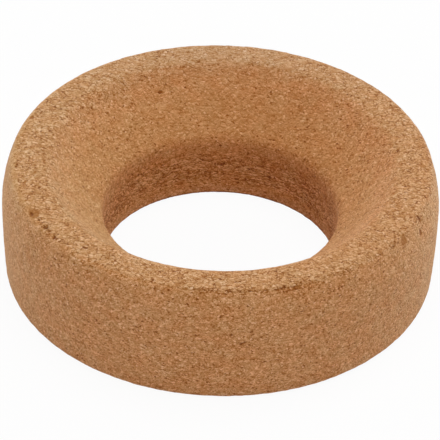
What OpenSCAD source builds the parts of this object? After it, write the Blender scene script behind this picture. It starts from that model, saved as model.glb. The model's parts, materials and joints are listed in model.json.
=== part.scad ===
// Cork ring: a stand for round-bottomed flasks, turned in one piece from
// pressed cork granules. A flat rim falls into a conical seat that holds the
// flask's belly, and a straight bore below it leaves room for the flask's
// lowest point. The outer wall is widest at its belly and is drawn in a
// little to the rim and to the foot. Millimetres, +Z up, the origin at the
// centre of the foot.

/* [Ring] */
// Diameter of the ring at its belly, where the wall is widest
ring_d = 110; // [104:1:150]
// Height of the ring from its foot to its rim
ring_h = 32; // [28:0.5:44]

/* [Outer wall] */
// Height of the belly above the foot
belly_h = 20; // [8:0.5:24]
// How far the wall is drawn in from the belly to the rim
shoulder_in = 2.5; // [1:0.1:4]
// How far the wall is drawn in from the belly to the foot
foot_in = 0.9; // [0.4:0.1:3]

/* [Seat and bore] */
// Diameter of the seat where it meets the rim
seat_d = 88; // [70:1:94]
// Slope of the seat, measured from level
seat_angle = 45; // [35:1:60]
// Diameter of the straight bore
bore_d = 59; // [40:1:76]

/* [Rounded edges] */
// Radius of the edge between the rim and the outer wall
rim_edge_r = 2; // [0.5:0.25:3.5]
// Radius of the edge between the outer wall and the foot
foot_edge_r = 1.8; // [0.4:0.2:4]
// Radius of the edge between the rim and the seat
seat_edge_r = 5; // [1:0.5:8]
// Radius of the edge between the seat and the bore
throat_edge_r = 4.5; // [1:0.5:10]
// Radius of the edge between the bore and the foot
bore_edge_r = 1.2; // [0.4:0.2:3]

/* [Hidden] */
$fn = 180;
cork = [0.74, 0.56, 0.40];

// How far the cutters reach past the blank
over = 1;

ring_r = ring_d / 2;
bore_r = bore_d / 2;
seat_r = seat_d / 2;
seat_depth = (seat_r - bore_r) * tan(seat_angle);
throat_h = ring_h - seat_depth;

// Corners of the half section, as [radius, height]
rim_corner = [ring_r - shoulder_in, ring_h];
foot_corner = [ring_r - foot_in, 0];
seat_corner = [seat_r, ring_h];
throat_corner = [bore_r, throat_h];
bore_corner = [bore_r, 0];

// Directions along the faces of the half section
outwards = [1, 0];
inwards = [-1, 0];
up = [0, 1];
down = [0, -1];
up_the_seat = [cos(seat_angle), sin(seat_angle)];

// Radius of the arc that leaves the belly upright and is drawn in by `inset`
// over the height `rise`
function bow_radius(rise, inset) = (rise * rise + inset * inset) / (2 * inset);

shoulder_r = bow_radius(ring_h - belly_h, shoulder_in);
foot_r = bow_radius(belly_h, foot_in);
shoulder_centre = [ring_r - shoulder_r, belly_h];
foot_centre = [ring_r - foot_r, belly_h];

// A rounding is [corner, centre, one touching point, the other].
// Between two straight faces that leave the corner along u and v:
function straight_rounding(corner, u, v, r) =
    let (half = acos(u * v) / 2, reach = r / tan(half))
    [
        corner,
        corner + (u + v) / norm(u + v) * r / sin(half),
        corner + u * reach,
        corner + v * reach
    ];

// Between a level face and the bowed wall, with the round's centre at height h:
function wall_rounding(corner, h, bow_centre, bow_r, r) =
    let (
        rise = h - bow_centre.y,
        centre = [bow_centre.x + sqrt(pow(bow_r - r, 2) - rise * rise), h],
        along = (centre - bow_centre) / norm(centre - bow_centre)
    )
    [corner, centre, [centre.x, corner.y], bow_centre + along * bow_r];

// What a rounded edge takes off its corner
module edge_cut(rounding, r) {
    centre = rounding[1];
    difference() {
        polygon([
            centre,
            2 * rounding[2] - centre,
            2 * rounding[0] - centre,
            2 * rounding[3] - centre
        ]);
        translate(centre) circle(r);
    }
}

// What lies outside the bowed wall between two heights
module wall_cut(bow_centre, bow_r, low, high) {
    difference() {
        translate([ring_r - 2 * (shoulder_in + foot_in), low])
            square([2 * (shoulder_in + foot_in) + over, high - low]);
        translate(bow_centre) circle(bow_r);
    }
}

// What lies above the seat
module seat_cut() {
    polygon([
        throat_corner - over * up_the_seat,
        seat_corner + over * up_the_seat,
        [bore_r - over, ring_h + over]
    ]);
}

// Half of the ring's section, on the outer side of its axis
module section() {
    difference() {
        translate([bore_r, 0]) square([ring_r - bore_r, ring_h]);
        wall_cut(shoulder_centre, shoulder_r, belly_h, ring_h + over);
        wall_cut(foot_centre, foot_r, -over, belly_h);
        seat_cut();
        edge_cut(
            wall_rounding(rim_corner, ring_h - rim_edge_r, shoulder_centre, shoulder_r, rim_edge_r),
            rim_edge_r
        );
        edge_cut(
            wall_rounding(foot_corner, foot_edge_r, foot_centre, foot_r, foot_edge_r),
            foot_edge_r
        );
        edge_cut(straight_rounding(seat_corner, outwards, -up_the_seat, seat_edge_r), seat_edge_r);
        edge_cut(straight_rounding(throat_corner, down, up_the_seat, throat_edge_r), throat_edge_r);
        edge_cut(straight_rounding(bore_corner, up, outwards, bore_edge_r), bore_edge_r);
    }
}

module cork_ring() {
    color(cork) rotate_extrude() section();
}

cork_ring();
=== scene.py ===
import json
import math

import bpy
import numpy as np
from mathutils import Matrix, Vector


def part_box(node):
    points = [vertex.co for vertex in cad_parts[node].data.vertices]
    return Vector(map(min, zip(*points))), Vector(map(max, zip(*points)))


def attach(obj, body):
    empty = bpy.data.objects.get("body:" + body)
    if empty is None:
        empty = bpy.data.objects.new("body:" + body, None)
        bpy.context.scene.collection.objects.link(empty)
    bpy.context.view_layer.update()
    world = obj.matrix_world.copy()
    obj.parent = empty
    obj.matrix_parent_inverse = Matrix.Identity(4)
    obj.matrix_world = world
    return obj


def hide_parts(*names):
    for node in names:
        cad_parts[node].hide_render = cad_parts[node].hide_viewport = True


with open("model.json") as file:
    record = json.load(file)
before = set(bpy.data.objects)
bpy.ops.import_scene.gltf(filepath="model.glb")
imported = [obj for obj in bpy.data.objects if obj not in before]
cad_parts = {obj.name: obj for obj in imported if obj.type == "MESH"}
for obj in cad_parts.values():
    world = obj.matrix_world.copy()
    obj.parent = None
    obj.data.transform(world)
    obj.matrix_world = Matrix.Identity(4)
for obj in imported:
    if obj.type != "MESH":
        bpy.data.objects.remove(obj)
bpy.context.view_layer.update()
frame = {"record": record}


# The cork ring. One body of cork granules pressed together with a little binder and
# turned to shape: a level rim, a conical seat, a straight bore through to the foot,
# and an outer wall that is drawn in towards the rim. Nothing is fixed to it.
low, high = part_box("cork_ring")
ring_r = (high.x - low.x) / 2
ring_h = high.z
mounts = {mount["name"]: mount for mount in frame["record"]["mounts"]}
bore_r = mounts["bore"]["dims"]["r_mm"] / 1000
belly_h = 0.020
shoulder_in = 0.0025
foot_in = 0.0009
seat_r = 0.044
seat_slope = math.radians(45)
rim_edge_r = 0.002
foot_edge_r = 0.0018
seat_edge_r = 0.005
throat_edge_r = 0.0045
bore_edge_r = 0.0012
points_around = 548

# The relief. Granules of two sizes dish the surface, and each lies at a depth of its own.
# The torn layers in the bore lie flat: layer_flatness is their width over their thickness.
# No mark is narrower than the smallest one, which is the least that the mesh can hold.
granule_size = 0.0026
fine_granule_size = 0.0014
layer_size = 0.0024
layer_flatness = 2
granule_dish = 0.00006
fine_granule_dish = 0.00005
granule_depth = 0.00005
layer_dish = 0.00012
layer_depth = 0.00010
crumbled_depth = 0.00022
mark_depth = 0.00022
flake_depth = mark_depth / 2
smallest_mark = (0.0005, 0.0004)

# Where the faces change, each as the two heights or radii between which it does so.
bore_ends = (0.0123, 0.0203)
torn_bore_starts = (0.0030, 0.0055)
torn_bore_ends = (0.0100, 0.0160)
bench_light_foot_ends = (0.0012, 0.0042)
contact_shadow_ends = (0.0004, 0.0013)
smooth_seat_ends = (seat_r - 0.0085, seat_r - 0.0025)
wall_top_starts = (0.0285, 0.0310)

# The rim's cut face. It starts a little inside the seat's edge, and further in on the
# left. It ends where the rounded outer edge has turned down by the least angle, in
# radians, and by up to one more radian on the side with the given azimuth.
cut_start_in = 0.0025
cut_start_left = 0.0030
cut_full_out = 0.0020
cut_end_least = 0.12
cut_end_side = 355
cut_end_fade = (0.20, 0.08)

# The middle of each zone that faces one way, as an azimuth in degrees. A zone that fades
# as a bell has its reach there too.
painted_sheen_back_at = (88, 42)
ruddy_side_at = (40, 42)
far_side_at = (90, 50)
painted_sheen_seat_at = 215
painted_sheen_left_at = 160
painted_shade_bore_at = 50

# The rim's outer edge has crumbled a little all round, and fully over three stretches,
# each given by the azimuth of its middle and its reach, in degrees.
crumbled_all_round = 0.16
crumbled_stretches = ((272, 6), (291, 5), (216, 6))
crumbled_width = 0.0008

# The larger marks that the edges and the faces have taken: the azimuth from the right
# in degrees, the radius and the height of each, and how far it reaches around the ring
# and across that.
holes = (
    (160.6, 0.0514, 0.0320, 0.0007, 0.0007),
    (184.7, 0.0513, 0.0320, 0.0005, 0.0004),
    (207.0, 0.0518, 0.0319, 0.0005, 0.0004),
    (214.4, 0.0513, 0.0320, 0.0006, 0.0006),
    (219.3, 0.0519, 0.0318, 0.0006, 0.0005),
    (228.4, 0.0489, 0.0320, 0.0006, 0.0005),
    (337.9, 0.0530, 0.0308, 0.0004, 0.0013),
    (336.5, 0.0540, 0.0279, 0.0005, 0.0009),
    (114.5, 0.0395, 0.0275, 0.0008, 0.0004),
    (276.5, 0.0550, 0.0178, 0.0008, 0.0003),
)
bare_flakes = (
    (206.9, 0.0511, 0.0320, 0.0017, 0.0013),
    (328.0, 0.0532, 0.0302, 0.0013, 0.0011),
)


def arc(centre, radius, start, end, spacing):
    """Points [radius, height] of a rounded stretch of the section: the centre plus the
    radius times the cosine and the sine of angles spread evenly from start to end. The
    last point is left to the next stretch."""
    count = max(2, round(abs(end - start) * radius / spacing))
    turn = np.linspace(start, end, count, endpoint=False)
    return np.stack([centre[0] + radius * np.cos(turn), centre[1] + radius * np.sin(turn)], 1)


def straight(a, b, spacing):
    """Points of a straight stretch from a to b: a plus even shares of b minus a."""
    count = max(2, round(math.dist(a, b) / spacing))
    share = np.linspace(0, 1, count, endpoint=False)[:, None]
    return (1 - share) * np.array(a) + share * np.array(b)


def bow(rise, inset):
    """Radius of the arc that leaves the belly upright and is drawn in by inset over rise:
    the sum of their squares over twice the inset."""
    return (rise * rise + inset * inset) / (2 * inset)


def edge_centre(bow_centre, bow_r, height, edge_r):
    """Centre of an edge that touches the bowed wall from inside, at the given height: its
    distance from the wall's centre is the difference of the two radii."""
    reach = math.sqrt((bow_r - edge_r) ** 2 - (height - bow_centre[1]) ** 2)
    return bow_centre[0] + reach, height


def corner_centre(corner, along_a, along_b, edge_r):
    """Centre of an edge between two straight faces that leave the corner along a and b:
    the corner plus their middle direction times the radius over the half angle's sine."""
    half = math.acos(along_a[0] * along_b[0] + along_a[1] * along_b[1]) / 2
    middle = np.array(along_a) + np.array(along_b)
    return np.array(corner) + middle / np.linalg.norm(middle) * edge_r / math.sin(half)


shoulder_r = bow(ring_h - belly_h, shoulder_in)
shoulder = (ring_r - shoulder_r, belly_h)
skirt_r = bow(belly_h, foot_in)
skirt = (ring_r - skirt_r, belly_h)
rim_edge = edge_centre(shoulder, shoulder_r, ring_h - rim_edge_r, rim_edge_r)
foot_edge = edge_centre(skirt, skirt_r, foot_edge_r, foot_edge_r)


def ring_section():
    """The closed outline of the ring's half section as points [radius, height], from the
    bore's lower edge up the bore, over the seat and the rim, down the wall and back
    along the foot. Each stretch starts where the last one ends."""
    throat_h = ring_h - (seat_r - bore_r) * math.tan(seat_slope)
    up_the_seat = (math.cos(seat_slope), math.sin(seat_slope))
    down_the_seat = (-up_the_seat[0], -up_the_seat[1])
    throat = corner_centre((bore_r, throat_h), (0, -1), up_the_seat, throat_edge_r)
    lip = corner_centre((seat_r, ring_h), (1, 0), down_the_seat, seat_edge_r)
    shoulder_turn = math.atan2(rim_edge[1] - shoulder[1], rim_edge[0] - shoulder[0])
    skirt_turn = math.atan2(foot_edge[1] - skirt[1], foot_edge[0] - skirt[0])
    facing_seat = math.pi / 2 + seat_slope
    off_the_seat = np.array([math.cos(facing_seat), math.sin(facing_seat)])
    seat_foot = throat + throat_edge_r * off_the_seat
    seat_head = lip + seat_edge_r * off_the_seat
    foot_inside = bore_r + bore_edge_r
    return np.concatenate([
        arc((foot_inside, bore_edge_r), bore_edge_r, math.pi * 1.5, math.pi, spacing=0.0004),
        straight((bore_r, bore_edge_r), (bore_r, throat[1]), spacing=0.0005),
        arc(throat, throat_edge_r, math.pi, facing_seat, spacing=0.00045),
        straight(seat_foot, seat_head, spacing=0.0006),
        arc(lip, seat_edge_r, facing_seat, math.pi / 2, spacing=0.00045),
        straight((lip[0], ring_h), (rim_edge[0], ring_h), spacing=0.00042),
        arc(rim_edge, rim_edge_r, math.pi / 2, shoulder_turn, spacing=0.0003),
        arc(shoulder, shoulder_r, shoulder_turn, 0, spacing=0.0005),
        arc(skirt, skirt_r, 0, skirt_turn, spacing=0.00052),
        arc(foot_edge, foot_edge_r, skirt_turn, -math.pi / 2, spacing=0.00035),
        straight((foot_edge[0], 0), (foot_inside, 0), spacing=0.0012),
    ])


def ring_grid(section):
    """The section carried round the axis in even turns: a point's radius times the cosine
    and the sine of the turn, and its height. With each point goes the way out of the
    surface, which is square to the line between its two neighbours along the section."""
    ahead = np.roll(section, -1, 0) - np.roll(section, 1, 0)
    ahead /= np.linalg.norm(ahead, axis=1)[:, None]
    outward = np.stack([-ahead[:, 1], ahead[:, 0]], 1)
    turn = np.linspace(0, 2 * math.pi, points_around, endpoint=False)[:, None]

    def carried(profile):
        """Each [radius, height] of the profile at each turn, as one list of places."""
        swept = (profile[:, 0] * np.cos(turn), profile[:, 0] * np.sin(turn), profile[:, 1])
        return np.stack(np.broadcast_arrays(*swept), -1).reshape(-1, 3)

    return carried(section), carried(outward)


def smooth_share(value, start, end):
    """0 before start, 1 after end, and in between the share s of the way there, eased as
    three s squared less two s cubed."""
    share = np.clip((value - start) / (end - start), 0, 1)
    return share * share * (3 - 2 * share)


def facing(azimuth, middle):
    """1 at the middle azimuth and 0 across the ring from it: half of one plus the cosine
    of the turn between them."""
    return 0.5 + 0.5 * np.cos(np.radians(azimuth - middle))


def close_to(azimuth, middle, reach):
    """1 at the middle azimuth and less away from it: e to the minus square of the turn
    between them, counted in reaches."""
    turn = (azimuth - middle + 180) % 360 - 180
    return np.exp(-(turn / reach) ** 2)


def ring_zones(points):
    """How far each point belongs to each zone of the ring, from 0 to 1. A zone ends in an
    eased step of the radius or the height, or fades with the azimuth as a bell or as a
    cosine, whose power narrows it. The rim's cut face ends on a line that wanders over the
    rounded edge, and the crumbled edge is a bell of the distance from that line."""
    radius = np.hypot(points[:, 0], points[:, 1])
    height = points[:, 2]
    azimuth = np.degrees(np.arctan2(points[:, 1], points[:, 0])) % 360
    sideways = np.cos(np.radians(azimuth))
    inside = radius < seat_r
    outside = radius > seat_r

    cut_start = seat_r - cut_start_in - cut_start_left * facing(azimuth, 180) ** 2
    cut_end = cut_end_least + facing(azimuth, cut_end_side)
    over_edge = np.arctan2(radius - rim_edge[0], height - rim_edge[1])
    cut_rim = smooth_share(radius, cut_start, seat_r + cut_full_out) * (height > ring_h / 2)
    cut_rim *= 1 - smooth_share(over_edge, cut_end - cut_end_fade[0], cut_end + cut_end_fade[1])
    off_line = np.hypot(radius - rim_edge[0] - rim_edge_r * np.sin(cut_end),
                        height - rim_edge[1] - rim_edge_r * np.cos(cut_end))
    crumbled = crumbled_all_round + sum(close_to(azimuth, *stretch) for stretch in crumbled_stretches)

    deep_bore = inside * (1 - smooth_share(height, *bore_ends))
    torn_bore = inside * smooth_share(height, *torn_bore_starts)
    torn_bore *= 1 - smooth_share(height, *torn_bore_ends)
    seat = 1 - deep_bore
    uncut = 1 - cut_rim
    return {
        "cut_rim": cut_rim,
        "torn_edge": np.minimum(crumbled, 1) * np.exp(-(off_line / crumbled_width) ** 2),
        "painted_sheen_back": cut_rim * close_to(azimuth, *painted_sheen_back_at),
        "smooth_seat": seat * (1 - smooth_share(radius, *smooth_seat_ends)),
        "painted_sheen_seat": seat * inside * facing(azimuth, painted_sheen_seat_at) ** 4,
        "ruddy_side": uncut * inside * close_to(azimuth, *ruddy_side_at),
        "far_side": uncut * inside * close_to(azimuth, *far_side_at),
        "deep_bore": deep_bore,
        "torn_bore": torn_bore,
        "painted_shade_bore": deep_bore * facing(azimuth, painted_shade_bore_at) ** 2,
        "bench_light_bore_foot": inside * (1 - smooth_share(height, *bench_light_foot_ends)),
        "foot_contact_shadow": (radius < bore_r + bore_edge_r) * (1 - smooth_share(height, *contact_shadow_ends)),
        "wall_sides": uncut * outside * sideways ** 6,
        "left_wall": uncut * outside * np.clip(-sideways, 0, 1) ** 9,
        "painted_sheen_left": outside * smooth_share(height, *wall_top_starts) * facing(azimuth, painted_sheen_left_at),
    }


def scrambled(cell, salt):
    """A number from 0 to 1 for each whole-number cell: the fraction of a large multiple
    of the sine of a weighted sum of the cell's three indices."""
    mixed = np.sin(cell @ np.array([127.1, 311.7, 74.7]) + salt * 19.19) * 43758.5453
    return mixed - np.floor(mixed)


def granules(points, size, salt):
    """How far each point is from the middle of the nearest granule, in granule sizes, and
    that granule's own number. Space is cut into cubes of that size, each with one granule
    at a scrambled place in it, and the 27 cubes round a point are searched."""
    place = points / size
    home = np.floor(place)
    nearest = np.full(len(points), 9.0)
    number = np.zeros(len(points))
    for step in np.ndindex(3, 3, 3):
        cell = home + np.array(step) - 1
        middle = cell + np.stack([scrambled(cell, salt + k) for k in range(3)], 1)
        distance = np.linalg.norm(place - middle, axis=1)
        closer = distance < nearest
        nearest[closer] = distance[closer]
        number[closer] = scrambled(cell[closer], salt + 3)
    return nearest, number


def spot(azimuth, radius, height):
    """A place on the ring: the radius times the cosine and the sine of its azimuth, and
    its height."""
    turn = math.radians(azimuth)
    return radius * math.cos(turn), radius * math.sin(turn), height


def pit(points, azimuth, radius, height, wide, long):
    """1 in the middle of a mark and less away from it: e to the minus square of the
    distance, counted in widths around the ring and in lengths across that."""
    turn = math.radians(azimuth)
    off = points - np.array(spot(azimuth, radius, height))
    way_around = np.array([-math.sin(turn), math.cos(turn), 0])
    around = off @ way_around
    across = np.linalg.norm(off - around[:, None] * way_around, axis=1)
    return np.exp(-(around / wide) ** 2 - (across / long) ** 2)


def ring_relief(points, zones):
    """How deep each point is sunk below the turned surface. A granule sinks it by the
    squared distance from its middle and by its own depth, a torn layer in the bore does
    the same, about half of the crumbled edge's fine granules are gone, and each mark is
    a rounded pit."""
    off_granule, own = granules(points, granule_size, salt=1)
    off_fine, own_fine = granules(points, fine_granule_size, salt=7)
    off_layer, own_layer = granules(points * np.array([1, 1, layer_flatness]), layer_size, salt=13)
    sunk = granule_dish * off_granule ** 2 + granule_depth * own
    sunk += fine_granule_dish * off_fine ** 2 + granule_depth * own_fine
    sunk += zones["torn_bore"] * (layer_dish * off_layer ** 2 + layer_depth * own_layer)
    gone = smooth_share(own_fine, 0.35, 0.65)
    sunk += zones["torn_edge"] * gone * crumbled_depth * (1 - 0.5 * off_fine)
    for azimuth, radius, height, wide, long in holes:
        wide = max(wide, smallest_mark[0])
        long = max(long, smallest_mark[1])
        sunk += mark_depth * pit(points, azimuth, radius, height, wide, long)
    for flake in bare_flakes:
        sunk += flake_depth * pit(points, *flake)
    return sunk


def grid_mesh(name, points, rows, columns):
    """A mesh of four-sided faces on a grid that closes on itself both ways: each face
    joins a point, the next one along the section, and the same two one turn on."""
    row = np.arange(rows)[:, None] * columns
    next_row = np.roll(row, -1, 0)
    column = np.arange(columns)[None, :]
    next_column = np.roll(column, -1, 1)
    corners = (row + column, row + next_column, next_row + next_column, next_row + column)
    faces = np.stack(corners, -1).reshape(-1, 4)
    mesh = bpy.data.meshes.new(name)
    mesh.vertices.add(len(points))
    mesh.vertices.foreach_set("co", points.astype(np.float32).ravel())
    mesh.loops.add(faces.size)
    mesh.loops.foreach_set("vertex_index", faces.astype(np.int32).ravel())
    mesh.polygons.add(len(faces))
    mesh.polygons.foreach_set("loop_start", np.arange(0, faces.size, 4, dtype=np.int32))
    mesh.polygons.foreach_set("use_smooth", np.ones(len(faces), bool))
    mesh.update(calc_edges=True)
    mesh.validate()
    return mesh


section = ring_section()
turned, outward = ring_grid(section)
zones = ring_zones(turned)
sunk = ring_relief(turned, zones)
worn = turned - outward * sunk[:, None]
ring_mesh = grid_mesh("pressed_cork_ring", worn, points_around, len(section))
for name, share in zones.items():
    attribute = ring_mesh.attributes.new(name, "FLOAT", "POINT")
    attribute.data.foreach_set("value", share.astype(np.float32))
ring = bpy.data.objects.new("pressed_cork_ring", ring_mesh)
bpy.context.scene.collection.objects.link(ring)

# The finish. Cork is darkest where bark got in and palest in its clean flakes, and the
# press has drawn its granules closer, by these factors along the three axes.
cork_shades = (
    (0.00, (0.217, 0.0476, 0.0010)),
    (0.27, (0.373, 0.1128, 0.0101)),
    (0.60, (0.595, 0.261, 0.084)),
    (0.846, (0.782, 0.414, 0.193)),
    (1.00, (0.878, 0.5175, 0.290)),
)
middle_tone = 0.66
squeeze = (0.86, 1.16, 1.20)
flake_size = 0.0010
crumb_size = 0.00066
grit_size = 0.00048
open_cell_size = 0.00055
cell_grain_size = 0.00016
thin_layer_size = 0.0025
thin_layer_flatness = 2.3
mark_raggedness = 0.0006
fine_relief = 0.00010

# How the zones differ: what each multiplies the colour by, and what it adds to the
# contrast. The first tint is the mellow one that lies in patches all over.
mellow_tint = (0.965, 1.075, 1.17)
zone_tints = (
    ("deep_bore", (1.02, 0.935, 0.76)),
    ("smooth_seat", (0.932, 0.918, 0.835)),
    ("cut_rim", (0.923, 0.948, 0.95)),
    # Painted sheen: the back of the rim, where it faces the back lamps, paler and bluer.
    ("painted_sheen_back", (0.96, 1.01, 1.16)),
    # Painted sheen: the left and right sides of the wall, seen edge on, paler and greyer.
    ("wall_sides", (0.96, 1.03, 1.04)),
    # Painted sheen on the front of the seat, seen edge on: paler and less orange.
    ("painted_sheen_seat", (0.945, 1.03, 1.07)),
    # Painted sheen along the top of the wall towards the left, seen edge on: paler and greener.
    ("painted_sheen_left", (1.0, 1.05, 1.08)),
    ("ruddy_side", (0.97, 0.925, 0.885)),
    # Painted shade on the back right of the bore.
    ("painted_shade_bore", (0.86, 0.815, 0.805)),
    # Painted light from the white bench below: the bore paler and bluer towards its foot.
    ("bench_light_bore_foot", (1.0, 1.07, 1.30)),
)
plain_contrast = 1.19
zone_contrasts = (
    ("cut_rim", 0.16),
    ("torn_bore", 0.10),
    ("deep_bore", 0.10),
    ("smooth_seat", 0.04),
    # The painted sheen on the back of the rim also washes out its grain.
    ("painted_sheen_back", -0.42),
    ("far_side", -0.23),
    ("wall_sides", 0.15),
    ("left_wall", -0.52),
)


def pressed_cork():
    """The finish of bare pressed cork. One tone runs from dark bark to pale cork: it is
    the middle tone, plus the contrast times what each granule, crumb and open cell adds,
    less the gaps between them, darkened as painted shade, and the specks of bark, plus a
    painted highlight on the gaps' lips, and less what the marks take away, the holes'
    dark being painted shade. The same patterns raise the surface."""
    material = bpy.data.materials.new("pressed_cork")
    material.use_nodes = True
    tree = material.node_tree
    shader = tree.nodes["Principled BSDF"]

    def plug(value, socket):
        """Links the socket to another one, or sets it to a plain value."""
        if isinstance(value, bpy.types.NodeSocket):
            tree.links.new(value, socket)
        else:
            socket.default_value = value

    def maths(operation, *values):
        """The operation's result on one, two or three numbers."""
        made = tree.nodes.new("ShaderNodeMath")
        made.operation = operation
        for value, socket in zip(values, made.inputs):
            plug(value, socket)
        return made.outputs[0]

    def vectors(operation, *values, output="Vector"):
        """The same on places."""
        made = tree.nodes.new("ShaderNodeVectorMath")
        made.operation = operation
        for value, socket in zip(values, made.inputs):
            plug(value, socket)
        return made.outputs[output]

    def times(a, b):
        return maths("MULTIPLY", a, b)

    def plus(base, *weighed):
        """The base, plus each pattern times its weight."""
        for pattern, weight in weighed:
            base = maths("MULTIPLY_ADD", pattern, weight, base)
        return base

    def about_zero(pattern):
        """The pattern less a half, so that it adds as much as it takes away."""
        return maths("SUBTRACT", pattern, 0.5)

    def dome(distance):
        """1 in the middle of a cell, less the square of the distance from it."""
        return plus(1.0, (times(distance, distance), -1.0))

    def ramp(value, start, end, from_value=0.0, to_value=1.0):
        """From the one value at the start to the other at the end, level past both."""
        made = tree.nodes.new("ShaderNodeMapRange")
        for given, socket in zip((value, start, end, from_value, to_value), made.inputs):
            plug(given, socket)
        return made.outputs[0]

    def cloud(size, detail, roughness=0.5, output="Fac"):
        """Soft clouds of about that size, with finer ones in them for each further detail."""
        made = tree.nodes.new("ShaderNodeTexNoise")
        made.inputs["Scale"].default_value = 1 / size
        made.inputs["Detail"].default_value = detail
        made.inputs["Roughness"].default_value = roughness
        tree.links.new(place, made.inputs["Vector"])
        return made.outputs[output]

    def bent(vector, size, detail, reach):
        """The place, shifted by clouds of that size: by up to the reach along each axis."""
        shift = cloud(size, detail, output="Color")
        return vectors("MULTIPLY_ADD", shift, (reach, reach, reach), vector)

    def cells(size, vector):
        """Distance from the nearest cell's middle, and two numbers of that cell's own."""
        made = tree.nodes.new("ShaderNodeTexVoronoi")
        made.inputs["Scale"].default_value = 1 / size
        tree.links.new(vector, made.inputs["Vector"])
        split = tree.nodes.new("ShaderNodeSeparateColor")
        tree.links.new(made.outputs["Color"], split.inputs[0])
        return made.outputs["Distance"], split.outputs[0], split.outputs[1]

    def seams(size, vector, width):
        """1 on the line between two cells, falling to 0 at the given share of their size."""
        made = tree.nodes.new("ShaderNodeTexVoronoi")
        made.feature = "DISTANCE_TO_EDGE"
        made.inputs["Scale"].default_value = 1 / size
        tree.links.new(vector, made.inputs["Vector"])
        return ramp(made.outputs["Distance"], 0.0, width, from_value=1.0, to_value=0.0)

    def mark(azimuth, radius, height, wide, long):
        """1 within the mark's reach and 0 past it, measured in the mark's own axes."""
        to_mark = tree.nodes.new("ShaderNodeMapping")
        to_mark.vector_type = "TEXTURE"
        to_mark.inputs["Location"].default_value = spot(azimuth, radius, height)
        to_mark.inputs["Rotation"].default_value = (0, 0, math.radians(azimuth))
        to_mark.inputs["Scale"].default_value = (long, wide, long)
        tree.links.new(ragged, to_mark.inputs["Vector"])
        reaches = vectors("LENGTH", to_mark.outputs["Vector"], output="Value")
        return ramp(reaches, 0.80, 1.25, from_value=1.0, to_value=0.0)

    def any_mark(marks):
        """The largest of the marks' shares."""
        most = mark(*marks[0])
        for other in marks[1:]:
            most = maths("MAXIMUM", most, mark(*other))
        return most

    # The zones, as the mesh carries them.
    shares = {}
    for zone in zones:
        carried = tree.nodes.new("ShaderNodeAttribute")
        carried.attribute_name = zone
        shares[zone] = carried.outputs["Fac"]
    cut = shares["cut_rim"]
    deep = shares["deep_bore"]
    torn = shares["torn_bore"]
    seat = shares["smooth_seat"]

    # Where the patterns are read: drawn closer by the press, then bent a little or more.
    # The torn layers are read flattened, and the painted highlights on the seams' lips a little
    # further back and higher up, on the side of the lamps.
    # The marks are bent as well, by as much one way as the other.
    pressed = tree.nodes.new("ShaderNodeMapping")
    pressed.inputs["Scale"].default_value = squeeze
    untouched = tree.nodes.new("ShaderNodeTexCoord").outputs["Object"]
    tree.links.new(untouched, pressed.inputs["Vector"])
    place = pressed.outputs["Vector"]
    loose = bent(place, size=0.0008, detail=2, reach=0.0006)
    tight = bent(place, size=0.0003, detail=2, reach=0.0002)
    toward_lamps = vectors("ADD", loose, (0, 0.00026, 0.00026))
    layered = vectors("MULTIPLY", loose, (1, 1, thin_layer_flatness))
    layer_toward_lamps = vectors("ADD", layered, (0, 0.0003, 0.0008))
    half_back = -mark_raggedness / 2
    ragged = vectors("ADD", untouched, (half_back, half_back, half_back))
    ragged = bent(ragged, size=0.0007, detail=1, reach=mark_raggedness)

    # The patterns. Flakes show most where the cork is cut or torn, and the gaps between
    # them and the chinks between crumbs are open only in patches.
    hole = any_mark(holes)
    bare = any_mark(bare_flakes)
    flake_far, flake_tone, _ = cells(flake_size, loose)
    grit_far, grit_tone, grit_pick = cells(grit_size, tight)
    _, _, open_cell_pick = cells(open_cell_size, tight)
    _, layer_tone, _ = cells(thin_layer_size, layered)
    layer_gap = seams(thin_layer_size, layered, width=0.12)
    painted_layer_lip = seams(thin_layer_size, layer_toward_lamps, width=0.12)
    cell_grain = cloud(cell_grain_size, detail=2, roughness=0.6)
    flaky = plus(0.60, (cut, 0.40), (deep, 0.20), (torn, 0.20), (seat, -0.10))
    gaps_open = ramp(cloud(0.0014, detail=1), start=0.36, end=0.60)
    chinks_open = ramp(cloud(0.0009, detail=1), start=0.40, end=0.62)
    gaps = times(times(seams(flake_size, loose, width=0.11), gaps_open), flaky)
    chinks = times(seams(crumb_size, loose, width=0.16), chinks_open)
    # Painted highlight: a light line along each seam's edge on the side towards the lamps, as lit
    # relief would show.
    painted_lit_lips = times(seams(flake_size, toward_lamps, width=0.12), gaps_open)
    painted_lit_lips = plus(painted_lit_lips, (seams(crumb_size, toward_lamps, width=0.16), chinks_open))
    flake_dome = times(dome(flake_far), flaky)
    grit_dome = dome(grit_far)
    bark = ramp(grit_pick, start=0.955, end=0.975)
    pale_fleck = ramp(grit_pick, start=0.08, end=0.05)
    open_cells = ramp(plus(open_cell_pick, (shares["torn_edge"], 0.55)), start=1.0, end=1.06)
    layers = times(about_zero(layer_tone), 0.26)
    # The torn layers' gaps darken as painted shade, and their lips lighten as a painted highlight on
    # the side towards the lamps.
    layers = plus(layers, (layer_gap, -0.30), (painted_layer_lip, 0.23))

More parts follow.
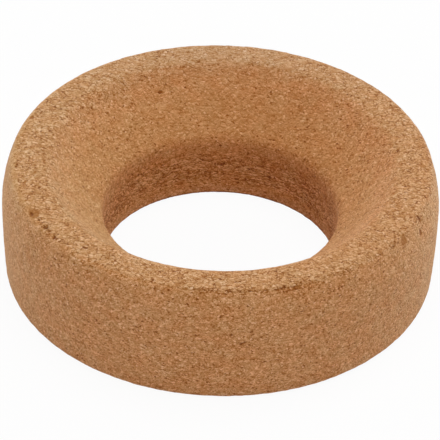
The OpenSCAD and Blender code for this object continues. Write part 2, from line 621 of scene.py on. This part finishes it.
    # What the patterns add to the tone, and how strongly.
    detail = times(about_zero(flake_tone), times(flaky, 0.16))
    detail = plus(
        detail,
        (about_zero(grit_tone), 0.24),
        (about_zero(cell_grain), plus(0.8, (seat, -0.20), (shares["far_side"], -0.20))),
        # Painted shade: the gaps and chinks are darkened as their crevices would be shaded.
        (gaps, -0.40),
        (chinks, plus(-0.32, (seat, 0.10))),
        (painted_lit_lips, 0.14),
        (bark, -0.34),
        (open_cells, -0.28),
        (pale_fleck, 0.22),
        (layers, torn),
    )
    contrast = plus(plain_contrast, *((shares[zone], more) for zone, more in zone_contrasts))
    contrast = times(contrast, plus(1.0, (bare, -0.75)))
    tone = plus(
        middle_tone,
        (detail, contrast),
        (bare, -0.28),
        # The holes are darkened as painted shade in their depths.
        (hole, -0.48),
        # Painted contact shadow along the bore's foot edge, where it meets the bench.
        (shares["foot_contact_shadow"], -0.55),
        (about_zero(cloud(0.012, detail=2)), 0.10),
        (about_zero(cloud(0.0030, detail=1)), times(seat, 0.14)),
    )

    # The colour: the tone's shade, mellow in patches, and tinted zone by zone.
    shades = tree.nodes.new("ShaderNodeValToRGB")
    stops = shades.color_ramp.elements
    stops[0].color = (*cork_shades[0][1], 1)
    stops[1].color = (*cork_shades[-1][1], 1)
    for where, shade in cork_shades[1:-1]:
        stops.new(where).color = (*shade, 1)
    tree.links.new(tone, shades.inputs[0])
    colour = shades.outputs[0]
    mellow_spread = plus(1.0, (shares["left_wall"], -0.6), (cut, -0.35), (seat, -0.3))
    mellow_patch = ramp(cloud(0.0042, detail=1), start=0.27, end=0.73)
    mellow = plus(0.5, (about_zero(mellow_patch), mellow_spread))
    tints = [(shares[zone], tint) for zone, tint in zone_tints]
    for share, tint in [(mellow, mellow_tint), *tints]:
        tinted = tree.nodes.new("ShaderNodeMix")
        tinted.data_type = "RGBA"
        tinted.blend_type = "MULTIPLY"
        tree.links.new(share, tinted.inputs[0])
        tree.links.new(colour, tinted.inputs[6])
        tinted.inputs[7].default_value = (*tint, 1)
        colour = tinted.outputs[2]
    tree.links.new(colour, shader.inputs["Base Color"])
    shader.inputs["Roughness"].default_value = 0.75
    shader.inputs["Specular IOR Level"].default_value = 0.25
    shader.inputs["Sheen Roughness"].default_value = 0.5
    tree.links.new(plus(0.06, (deep, -0.06)), shader.inputs["Sheen Weight"])

    # The fine relief, too small for the mesh to hold.
    raised = plus(
        times(flake_dome, 1.8),
        (grit_dome, 0.4),
        (cell_grain, 0.7),
        (gaps, -0.6),
        (bark, -0.3),
        (open_cells, -0.8),
        (hole, -2.0),
        (times(layer_gap, torn), -1.2),
    )
    bump = tree.nodes.new("ShaderNodeBump")
    bump.inputs["Strength"].default_value = 1.0
    bump.inputs["Distance"].default_value = fine_relief
    tree.links.new(raised, bump.inputs["Height"])
    tree.links.new(bump.outputs[0], shader.inputs["Normal"])
    return material


ring_mesh.materials.append(pressed_cork())
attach(ring, "root")
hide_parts("cork_ring")


# The bench that the ring stands on. A plain board, painted matt white: one flat sheet
# that is wide enough to fill the view.
bench_half = 4.0
bench_white = (0.9, 0.9, 0.9, 1)
plain_share = 0.94
bench_mesh = bpy.data.meshes.new("bench")
bench_corners = [
    (-bench_half, -bench_half, 0),
    (bench_half, -bench_half, 0),
    (bench_half, bench_half, 0),
    (-bench_half, bench_half, 0),
]
bench_mesh.from_pydata(bench_corners, [], [(0, 1, 2, 3)])
bench = bpy.data.objects.new("bench", bench_mesh)
bpy.context.scene.collection.objects.link(bench)


def seen_plainly(tree):
    """1 for a ray that comes from the camera, off a mirror or through glass, and 0 for
    the rest: the largest of the three."""
    path = tree.nodes.new("ShaderNodeLightPath")
    seen = path.outputs["Is Camera Ray"]
    for other in ("Is Glossy Ray", "Is Transmission Ray"):
        either = tree.nodes.new("ShaderNodeMath")
        either.operation = "MAXIMUM"
        tree.links.new(seen, either.inputs[0])
        tree.links.new(path.outputs[other], either.inputs[1])
        seen = either.outputs[0]
    return seen


def bench_paint():
    """A matt white paint. What looks at it straight on, or by reflection, sees mostly
    plain white, and the rest of it takes the light and the ring's shadow."""
    material = bpy.data.materials.new("bench_paint")
    material.use_nodes = True
    tree = material.node_tree
    board = tree.nodes["Principled BSDF"]
    board.inputs["Base Color"].default_value = bench_white
    board.inputs["Roughness"].default_value = 0.9
    board.inputs["Specular IOR Level"].default_value = 0.1
    white = tree.nodes.new("ShaderNodeEmission")
    share = tree.nodes.new("ShaderNodeMath")
    share.operation = "MULTIPLY"
    share.inputs[1].default_value = plain_share
    mix = tree.nodes.new("ShaderNodeMixShader")
    tree.links.new(seen_plainly(tree), share.inputs[0])
    tree.links.new(share.outputs[0], mix.inputs[0])
    tree.links.new(board.outputs[0], mix.inputs[1])
    tree.links.new(white.outputs[0], mix.inputs[2])
    tree.links.new(mix.outputs[0], tree.nodes["Material Output"].inputs["Surface"])
    return material


bench_mesh.materials.append(bench_paint())


# The light. A white surround that is plain white to the camera and dim to the ring, and
# five large soft lamps: one overhead and one at each corner, the front ones warm.
world = bpy.data.worlds.new("surround")
bpy.context.scene.world = world
world.use_nodes = True
sky = world.node_tree
dim = sky.nodes["Background"]
dim.inputs["Color"].default_value = (1, 1, 1, 1)
dim.inputs["Strength"].default_value = 0.20
plain = sky.nodes.new("ShaderNodeBackground")
plain.inputs["Strength"].default_value = 1.0
pick = sky.nodes.new("ShaderNodeMixShader")
sky.links.new(seen_plainly(sky), pick.inputs[0])
sky.links.new(dim.outputs[0], pick.inputs[1])
sky.links.new(plain.outputs[0], pick.inputs[2])
sky.links.new(pick.outputs[0], sky.nodes["World Output"].inputs["Surface"])
lamp_distance = 1.2
lamp_size = 0.9


def softbox(name, azimuth, elevation, power, colour):
    """A square lamp that faces the middle of the ring from the given side: azimuth turns
    from the right and elevation rises from the bench, both in degrees. Its way from the
    ring is level by the elevation's cosine, upright by its sine, and along the azimuth."""
    turn = math.radians(azimuth)
    rise = math.radians(elevation)
    level = math.cos(rise)
    toward = np.array([level * math.cos(turn), level * math.sin(turn), math.sin(rise)])
    data = bpy.data.lights.new(name, "AREA")
    data.shape = "SQUARE"
    data.size = lamp_size
    data.energy = power
    data.color = colour
    lamp = bpy.data.objects.new(name, data)
    lamp.location = toward * lamp_distance + np.array([0, 0, ring_h / 2])
    lamp.rotation_euler = (math.pi / 2 - rise, 0, turn + math.pi / 2)
    lamp.visible_camera = False
    bpy.context.scene.collection.objects.link(lamp)


softbox("lamp_overhead", azimuth=0, elevation=85, power=8.6, colour=(1.0, 0.98, 0.97))
softbox("lamp_back_right", azimuth=45, elevation=15, power=7.3, colour=(0.93, 0.985, 1.0))
softbox("lamp_back_left", azimuth=135, elevation=15, power=5.8, colour=(0.95, 0.99, 1.0))
softbox("lamp_front_left", azimuth=225, elevation=15, power=2.1, colour=(1.0, 0.80, 0.73))
softbox("lamp_front_right", azimuth=315, elevation=15, power=1.7, colour=(1.0, 0.80, 0.70))
bpy.context.scene.view_settings.view_transform = "Standard"


# The camera. It looks down on the ring from in front, through a long lens, and is turned
# a little about its own axis.
camera_data = bpy.data.cameras.new("camera")
camera_data.lens = 298.45
camera_data.sensor_width = 36
camera_aim = 0.01377
camera_distance = 0.92243
camera_rise = math.radians(37.002)
camera_roll = math.radians(1.611)
camera = bpy.data.objects.new("camera", camera_data)
bpy.context.scene.collection.objects.link(camera)
camera.matrix_world = (
    Matrix.Translation((0, 0, camera_aim))
    @ Matrix.Rotation(math.pi / 2 - camera_rise, 4, "X")
    @ Matrix.Translation((0, 0, camera_distance))
    @ Matrix.Rotation(camera_roll, 4, "Z")
)
bpy.context.scene.camera = camera
